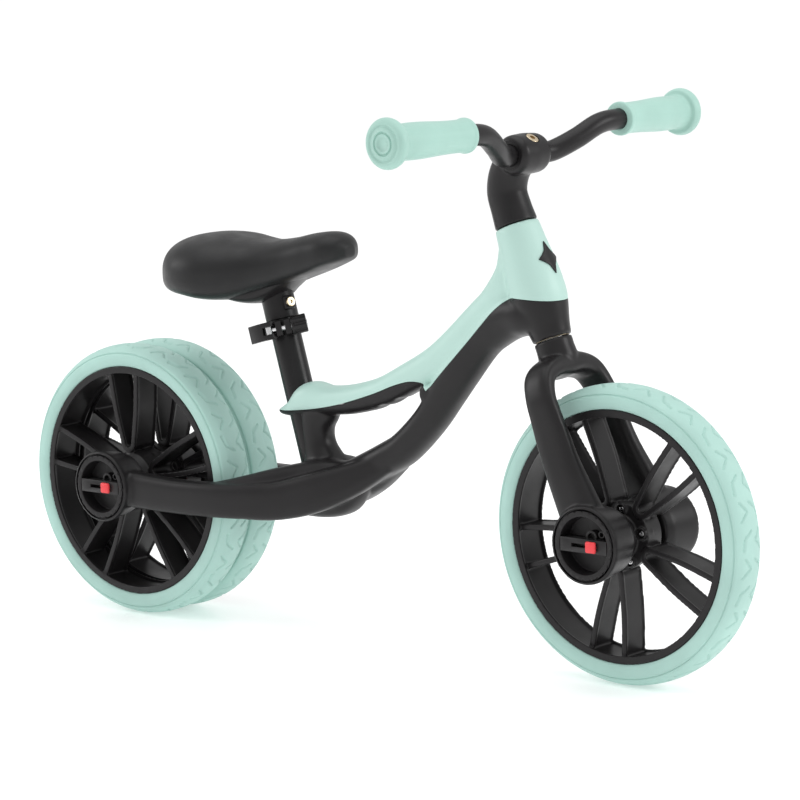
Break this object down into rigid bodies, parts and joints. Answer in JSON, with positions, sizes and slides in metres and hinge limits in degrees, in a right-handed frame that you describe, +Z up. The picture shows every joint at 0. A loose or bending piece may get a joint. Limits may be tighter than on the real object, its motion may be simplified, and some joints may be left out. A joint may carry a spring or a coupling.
{
  "type": "balance bike",
  "caption": "Child's balance bike with a moulded frame and carry handle, one steered front wheel, twin rear wheels and a saddle that slides on a clamped post.",
  "frame": {"origin": "on the ground, midway between the front and rear ends and on the bike's middle plane", "axes": "+X towards the front wheel, +Y to the rider's left, +Z up"},
  "size_m": [0.754, 0.3908, 0.4583],
  "materials": {
    "black_plastic": "charcoal injection moulding, satin with a fine grain",
    "mint_plastic": "pale mint injection moulding, satin",
    "mint_tyre": "matte foam tyre with shallow tread marks",
    "mint_rubber": "soft matte rubber grip",
    "saddle_skin": "self-skinned black foam, satin",
    "painted_tube": "black powder coat on steel tube",
    "steel": "bright zinc-plated steel",
    "bush": "plain bush, dull",
    "red_plastic": "red moulding"
  },
  "bodies": {
    "frame": {"main_frame": "black_plastic", "top_cover": "mint_plastic", "rear_axle": "steel", "upper_head_bush": "bush", "lower_head_bush": "bush", "head_badge": "black_plastic", "seat_tube": "painted_tube", "clamp_band": "black_plastic", "clamp_bolt": "steel", "clamp_nut": "black_plastic", "clamp_barrel": "steel"},
    "clamp_lever": {"clamp_lever": "black_plastic"},
    "saddle": {"seat_post": "painted_tube", "saddle_collar": "black_plastic", "collar_screw": "steel", "saddle_base": "black_plastic", "saddle_pad": "saddle_skin"},
    "steering": {"fork": "black_plastic", "steerer_tube": "steel", "stem": "black_plastic", "stem_bolt": "steel", "handlebar": "black_plastic", "right_grip": "mint_rubber", "left_grip": "mint_rubber", "front_axle": "steel", "front_axle_washer": "steel"},
    "front_wheel": {"front_tyre": "mint_tyre", "front_rim": "black_plastic", "front_inner_bush": "bush", "front_outer_bush": "bush"},
    "right_rear_wheel": {"right_rear_tyre": "mint_tyre", "right_rear_rim": "black_plastic", "right_rear_inner_bush": "bush", "right_rear_outer_bush": "bush"},
    "left_rear_wheel": {"left_rear_tyre": "mint_tyre", "left_rear_rim": "black_plastic", "left_rear_inner_bush": "bush", "left_rear_outer_bush": "bush"},
    "right_front_dial": {"right_front_dial": "black_plastic"},
    "right_front_latch": {"right_front_latch": "red_plastic"},
    "left_front_dial": {"left_front_dial": "black_plastic"},
    "left_front_latch": {"left_front_latch": "red_plastic"},
    "right_rear_dial": {"right_rear_dial": "black_plastic"},
    "right_rear_latch": {"right_rear_latch": "red_plastic"},
    "left_rear_dial": {"left_rear_dial": "black_plastic"},
    "left_rear_latch": {"left_rear_latch": "red_plastic"}
  },
  "joints": [
    {"name": "steering_turn", "type": "hinge", "parent": "frame", "child": "steering", "pos_m": [0.154, 0, 0.36], "axis": [-0.3535, 0, 0.9354], "range_deg": [-45, 45]},
    {"name": "front_wheel_spin", "type": "hinge", "parent": "steering", "child": "front_wheel", "pos_m": [0.257, 0, 0.12], "axis": [0, 1, 0], "continuous": true},
    {"name": "right_rear_wheel_spin", "type": "hinge", "parent": "frame", "child": "right_rear_wheel", "pos_m": [-0.257, 0, 0.12], "axis": [0, 1, 0], "continuous": true},
    {"name": "left_rear_wheel_spin", "type": "hinge", "parent": "frame", "child": "left_rear_wheel", "pos_m": [-0.257, 0, 0.12], "axis": [0, 1, 0], "continuous": true},
    {"name": "saddle_height", "type": "slide", "parent": "frame", "child": "saddle", "axis": [-0.2689, 0, 0.9632], "range_m": [0, 0.04]},
    {"name": "clamp_lever_open", "type": "hinge", "parent": "frame", "child": "clamp_lever", "pos_m": [-0.09485, -0.02393, 0.26177], "axis": [-0.2689, 0, 0.9632], "range_deg": [0, 90]},
    {"name": "right_front_dial_turn", "type": "hinge", "parent": "steering", "child": "right_front_dial", "pos_m": [0.257, 0, 0.12], "axis": [0, -1, 0], "range_deg": [0, 90]},
    {"name": "right_front_latch_slide", "type": "slide", "parent": "right_front_dial", "child": "right_front_latch", "axis": [-1, 0, 0], "range_m": [0, 0.008], "stiffness_N_per_m": 100},
    {"name": "left_front_dial_turn", "type": "hinge", "parent": "steering", "child": "left_front_dial", "pos_m": [0.257, 0, 0.12], "axis": [0, 1, 0], "range_deg": [0, 90]},
    {"name": "left_front_latch_slide", "type": "slide", "parent": "left_front_dial", "child": "left_front_latch", "axis": [-1, 0, 0], "range_m": [0, 0.008], "stiffness_N_per_m": 100},
    {"name": "right_rear_dial_turn", "type": "hinge", "parent": "frame", "child": "right_rear_dial", "pos_m": [-0.257, 0, 0.12], "axis": [0, -1, 0], "range_deg": [0, 90]},
    {"name": "right_rear_latch_slide", "type": "slide", "parent": "right_rear_dial", "child": "right_rear_latch", "axis": [-1, 0, 0], "range_m": [0, 0.008], "stiffness_N_per_m": 100},
    {"name": "left_rear_dial_turn", "type": "hinge", "parent": "frame", "child": "left_rear_dial", "pos_m": [-0.257, 0, 0.12], "axis": [0, 1, 0], "range_deg": [0, 90]},
    {"name": "left_rear_latch_slide", "type": "slide", "parent": "left_rear_dial", "child": "left_rear_latch", "axis": [-1, 0, 0], "range_m": [0, 0.008], "stiffness_N_per_m": 100}
  ]
}
